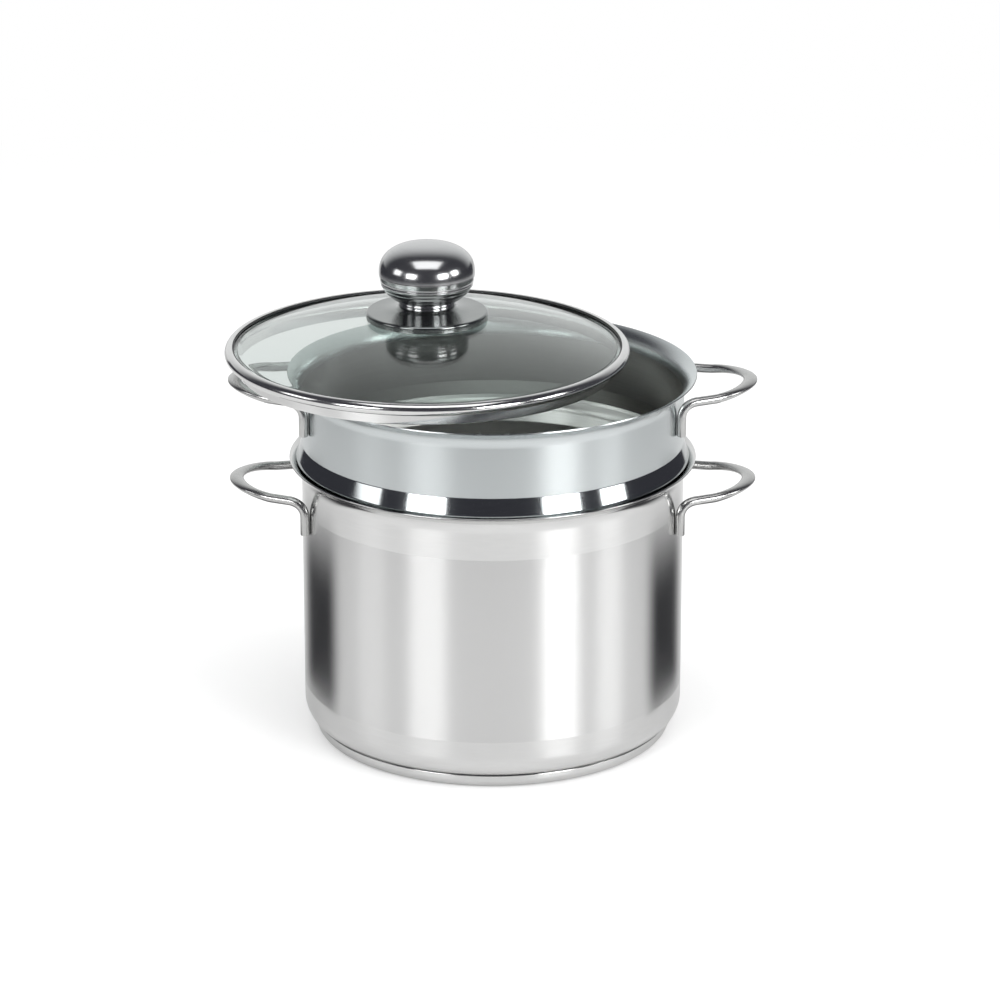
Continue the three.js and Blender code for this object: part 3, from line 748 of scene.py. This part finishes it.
head_radius = (bolt_high.x - bolt_low.x) / 2
outline = start_outline(0.0, bolt_high.z)
line_to(outline, bolt_radius, bolt_high.z)
line_to(outline, bolt_radius, bolt_low.z + bolt_head)
line_to(outline, head_radius, bolt_low.z + bolt_head)
line_to(outline, head_radius, bolt_low.z + bolt_head / 2)
curve_to(outline, (head_radius, bolt_low.z), (bolt_radius + thread_play, bolt_low.z),
         pull=0.6, points=8)
bolt = turn(outline, steps=SMALL_STEPS)
rim = [edge for edge in bolt.edges if edge.is_boundary]
at_head = Matrix.Translation((0.0, 0.0, bolt_low.z))
socket = bmesh.ops.create_circle(bolt, segments=6, radius=socket_radius, matrix=at_head)["verts"]
socket_edges = list({edge for vert in socket for edge in vert.link_edges})
bmesh.ops.triangle_fill(bolt, edges=rim + socket_edges, use_beauty=True)
sunk = bmesh.ops.extrude_edge_only(bolt, edges=socket_edges)["geom"]
bmesh.ops.translate(bolt, vec=(0.0, 0.0, socket_depth), verts=verts_among(sunk))
bmesh.ops.holes_fill(bolt, edges=[edge for edge in bolt.edges if edge.is_boundary])
bmesh.ops.recalc_face_normals(bolt, faces=bolt.faces[:])
add_piece("knob_bolt", on_lid(bolt), [wire_steel], "lid", "satin_steel", "knob_screw")

washer = plain_ring(washer_low, washer_high, shaft_hole, round_off=0.0002)
add_piece("bolt_washer", washer, [wire_steel], "lid", "satin_steel", "screw_washer")
for name, node in (("dish_pad", "upper_gasket"), ("bolt_pad", "lower_gasket")):
    pad = plain_ring(*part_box(node), shaft_hole, round_off=0.0003)
    add_piece(name, pad, [dark_silicone], "lid", "silicone", node)

# Table: a plain white glossy table top, which keeps the pot's soft shadow.
# The camera sees it go on without an edge; in polished steel it ends at the sides and in front.
table_size = 12.0
table_edge = (0.85, 1.0)  # how far off reflections see it end
table_fade = (0.55, 1.3)  # how far off the camera sees it turn plain white
table_lift = 0.25  # how much brighter the camera sees it
sweep = (0.80, 0.84)  # how squarely behind the pot it runs on into the backdrop
room_dark = (0.05, 0.05, 0.06, 1.0)
top = bmesh.new()
bmesh.ops.create_grid(top, x_segments=2, y_segments=2, size=table_size / 2)
table = make_object("table", top)


def combine(nodes, links, operation, first, second):
    """Joins two values, each a socket or a number."""
    node = nodes.new("ShaderNodeMath")
    node.operation = operation
    for socket, value in zip(node.inputs, (first, second)):
        if isinstance(value, float):
            socket.default_value = value
        else:
            links.new(value, socket)
    return node.outputs["Value"]


def smooth_step(nodes, links, value, low, high):
    """Rises smoothly from 0 at low to 1 at high."""
    node = nodes.new("ShaderNodeMapRange")
    node.interpolation_type = "SMOOTHSTEP"
    node.inputs["From Min"].default_value = low
    node.inputs["From Max"].default_value = high
    links.new(value, node.inputs["Value"])
    return node.outputs["Result"]


def mix_shaders(nodes, links, share, first, second):
    """Mixes two shaders by a share of the second."""
    node = nodes.new("ShaderNodeMixShader")
    links.new(share, node.inputs["Fac"])
    links.new(first, node.inputs[1])
    links.new(second, node.inputs[2])
    return node.outputs["Shader"]


def seen_plainly(nodes, links, path):
    """1 for what the camera sees itself or through the glass, 0 for light and reflections."""
    return combine(nodes, links, "MAXIMUM", path.outputs["Is Camera Ray"],
                   path.outputs["Is Transmission Ray"])


white_top, nodes, links, shader = start_material("white_top")
nodes.remove(shader)
path = nodes.new("ShaderNodeLightPath")
matt = nodes.new("ShaderNodeBsdfDiffuse")
matt.inputs["Color"].default_value = (0.84, 0.84, 0.84, 1.0)
gloss = nodes.new("ShaderNodeBsdfGlossy")
gloss.inputs["Roughness"].default_value = 0.42
sheen = nodes.new("ShaderNodeFresnel")
sheen.inputs["IOR"].default_value = 1.5
glow = nodes.new("ShaderNodeEmission")
beyond = nodes.new("ShaderNodeEmission")
beyond.inputs["Color"].default_value = room_dark
place = nodes.new("ShaderNodeTexCoord")
distance = nodes.new("ShaderNodeVectorMath")
distance.operation = "LENGTH"
links.new(place.outputs["Object"], distance.inputs[0])
reach = distance.outputs["Value"]
axes = nodes.new("ShaderNodeSeparateXYZ")
links.new(place.outputs["Object"], axes.inputs["Vector"])
seen = seen_plainly(nodes, links, path)
links.new(combine(nodes, links, "MULTIPLY", seen, table_lift), glow.inputs["Strength"])
lifted = nodes.new("ShaderNodeAddShader")
links.new(matt.outputs["BSDF"], lifted.inputs[0])
links.new(glow.outputs["Emission"], lifted.inputs[1])
mirrored = combine(nodes, links, "MULTIPLY", path.outputs["Is Glossy Ray"], sheen.outputs["Fac"])
surface = mix_shaders(nodes, links, mirrored, lifted.outputs["Shader"], gloss.outputs["BSDF"])
far_white = nodes.new("ShaderNodeEmission")
far = combine(nodes, links, "MULTIPLY", seen, smooth_step(nodes, links, reach, *table_fade))
surface = mix_shaders(nodes, links, far, surface, far_white.outputs["Emission"])
outside = smooth_step(nodes, links, reach, *table_edge)
towards_back = combine(nodes, links, "DIVIDE", axes.outputs["Y"], reach)
swept = smooth_step(nodes, links, towards_back, *sweep)
outside = combine(nodes, links, "MULTIPLY", outside, combine(nodes, links, "SUBTRACT", 1.0, swept))
outside = combine(nodes, links, "MULTIPLY", path.outputs["Is Glossy Ray"], outside)
surface = mix_shaders(nodes, links, outside, surface, beyond.outputs["Emission"])
links.new(surface, nodes["Material Output"].inputs["Surface"])
table.data.materials.append(white_top)

# Grey cards: two low curved cards beside the pot, as a studio sets them to draw the edges of steel.
# They fade out towards both ends and the top, and only reflections show them.
card_distance = 0.15
card_height = 0.125
card_start = 71
card_sweep = 54
card_fade_in = (math.radians(card_start), math.radians(83))
card_fade_out = (math.radians(102), math.radians(card_start + card_sweep))
card_fade_up = (0.065, card_height)
CARD_STEPS = 24
grey_card, nodes, links, shader = start_material("grey_card")
nodes.remove(shader)
paint = nodes.new("ShaderNodeEmission")
paint.inputs["Color"].default_value = (0.04, 0.04, 0.043, 1.0)
gone = nodes.new("ShaderNodeBsdfTransparent")
place = nodes.new("ShaderNodeTexCoord")
axes = nodes.new("ShaderNodeSeparateXYZ")
links.new(place.outputs["Object"], axes.inputs["Vector"])
sideways = combine(nodes, links, "ABSOLUTE", axes.outputs["X"], 0.0)
forwards = combine(nodes, links, "MULTIPLY", axes.outputs["Y"], -1.0)
azimuth = combine(nodes, links, "ARCTAN2", sideways, forwards)
shade = combine(nodes, links, "SUBTRACT", smooth_step(nodes, links, azimuth, *card_fade_in),
                smooth_step(nodes, links, azimuth, *card_fade_out))
faded = smooth_step(nodes, links, axes.outputs["Z"], *card_fade_up)
shade = combine(nodes, links, "MULTIPLY", shade, combine(nodes, links, "SUBTRACT", 1.0, faded))
surface = mix_shaders(nodes, links, shade, gone.outputs["BSDF"], paint.outputs["Emission"])
links.new(surface, nodes["Material Output"].inputs["Surface"])
for side in (-1, 1):
    strip = bmesh.new()
    start = math.radians(-90 + side * card_start)
    foot = Vector((math.cos(start), math.sin(start), 0.0)) * card_distance
    ends = [strip.verts.new(foot), strip.verts.new(foot + Vector((0.0, 0.0, card_height)))]
    strip.edges.new(ends)
    bmesh.ops.spin(strip, geom=strip.verts[:] + strip.edges[:], cent=(0.0, 0.0, 0.0),
                   axis=(0.0, 0.0, 1.0), angle=math.radians(side * card_sweep), steps=CARD_STEPS)
    card = make_object("card", strip)
    card.visible_camera = False
    card.visible_diffuse = False
    card.visible_transmission = False
    card.visible_shadow = False
    card.data.materials.append(grey_card)

# Studio: a dark room with a pale backdrop behind the pot, four windows and a large soft box overhead.
# The camera and the light that falls on the table see plain white all round.
backdrop = (0.90, 0.91, 0.91, 1.0)
backdrop_foot = (0.06, 0.14)
backdrop_sides = (0.35, 1.0)
world = bpy.data.worlds.new("studio")
bpy.context.scene.world = world
world.use_nodes = True
nodes, links = world.node_tree.nodes, world.node_tree.links
soft_light = nodes["Background"]
soft_light.inputs["Color"].default_value = (1.0, 1.0, 1.0, 1.0)
soft_light.inputs["Strength"].default_value = 0.75
white = nodes.new("ShaderNodeBackground")
white.inputs["Color"].default_value = (1.0, 1.0, 1.0, 1.0)
dark = nodes.new("ShaderNodeBackground")
dark.inputs["Color"].default_value = room_dark
pale = nodes.new("ShaderNodeBackground")
pale.inputs["Color"].default_value = backdrop
path = nodes.new("ShaderNodeLightPath")
direction = nodes.new("ShaderNodeTexCoord")
axes = nodes.new("ShaderNodeSeparateXYZ")
links.new(direction.outputs["Generated"], axes.inputs["Vector"])
above = combine(nodes, links, "MAXIMUM", smooth_step(nodes, links, axes.outputs["Z"], *backdrop_foot),
                smooth_step(nodes, links, axes.outputs["Y"], *sweep))
between = smooth_step(nodes, links, axes.outputs["Y"], *backdrop_sides)
behind = combine(nodes, links, "MULTIPLY", between, above)
room = mix_shaders(nodes, links, behind, dark.outputs["Background"], pale.outputs["Background"])
lit = mix_shaders(nodes, links, path.outputs["Is Glossy Ray"], soft_light.outputs["Background"], room)
seen = seen_plainly(nodes, links, path)
lit = mix_shaders(nodes, links, seen, lit, white.outputs["Background"])
links.new(lit, nodes["World Output"].inputs["Surface"])

LAMP_DISTANCE = 2.6
lamp_aim = Vector((0.0, 0.0, 0.15))


def soft_box(name, azimuth, elevation, width, height, brightness):
    """A lamp that faces the pot, placed by its azimuth from the camera's side and its elevation."""
    light = bpy.data.lights.new(name, "AREA")
    light.shape = "RECTANGLE"
    light.size = width
    light.size_y = height
    light.energy = brightness * math.pi * width * height
    lamp = bpy.data.objects.new(name, light)
    flat = math.cos(math.radians(elevation))
    turned = math.radians(azimuth)
    way = Vector((math.sin(turned) * flat, -math.cos(turned) * flat, math.sin(math.radians(elevation))))
    facing = way.to_track_quat("Z", "Y").to_matrix().to_4x4()
    lamp.matrix_world = Matrix.Translation(lamp_aim + way * LAMP_DISTANCE) @ facing
    lamp.visible_camera = False
    bpy.context.scene.collection.objects.link(lamp)


soft_box("window_left", azimuth=-38, elevation=14, width=1.0, height=0.85, brightness=5.2)
soft_box("window_right", azimuth=40, elevation=14, width=0.95, height=0.85, brightness=9.5)
soft_box("window_far_left", azimuth=-76, elevation=17, width=0.85, height=0.85, brightness=2.2)
soft_box("window_far_right", azimuth=73, elevation=17, width=0.75, height=0.85, brightness=5.0)
soft_box("top_box", azimuth=0, elevation=76, width=2.1, height=1.8, brightness=1.6)

# Camera: a long lens straight in front of the pot and a little above it, looking down.
# The pot stands in the middle of its frame.
eye_target = Vector((0.0039, 0.0, 0.1258))
eye_distance = 2.323
eye_tilt = math.radians(19.14)
camera_data = bpy.data.cameras.new("camera")
camera_data.lens = 157.7
camera_data.sensor_width = 36.0
camera = bpy.data.objects.new("camera", camera_data)
camera.location = eye_target + Vector((0.0, -math.cos(eye_tilt), math.sin(eye_tilt))) * eye_distance
camera.rotation_euler = (math.pi / 2 - eye_tilt, 0.0, 0.0)
bpy.context.scene.collection.objects.link(camera)
bpy.context.scene.camera = camera
bpy.context.scene.view_settings.view_transform = "Standard"
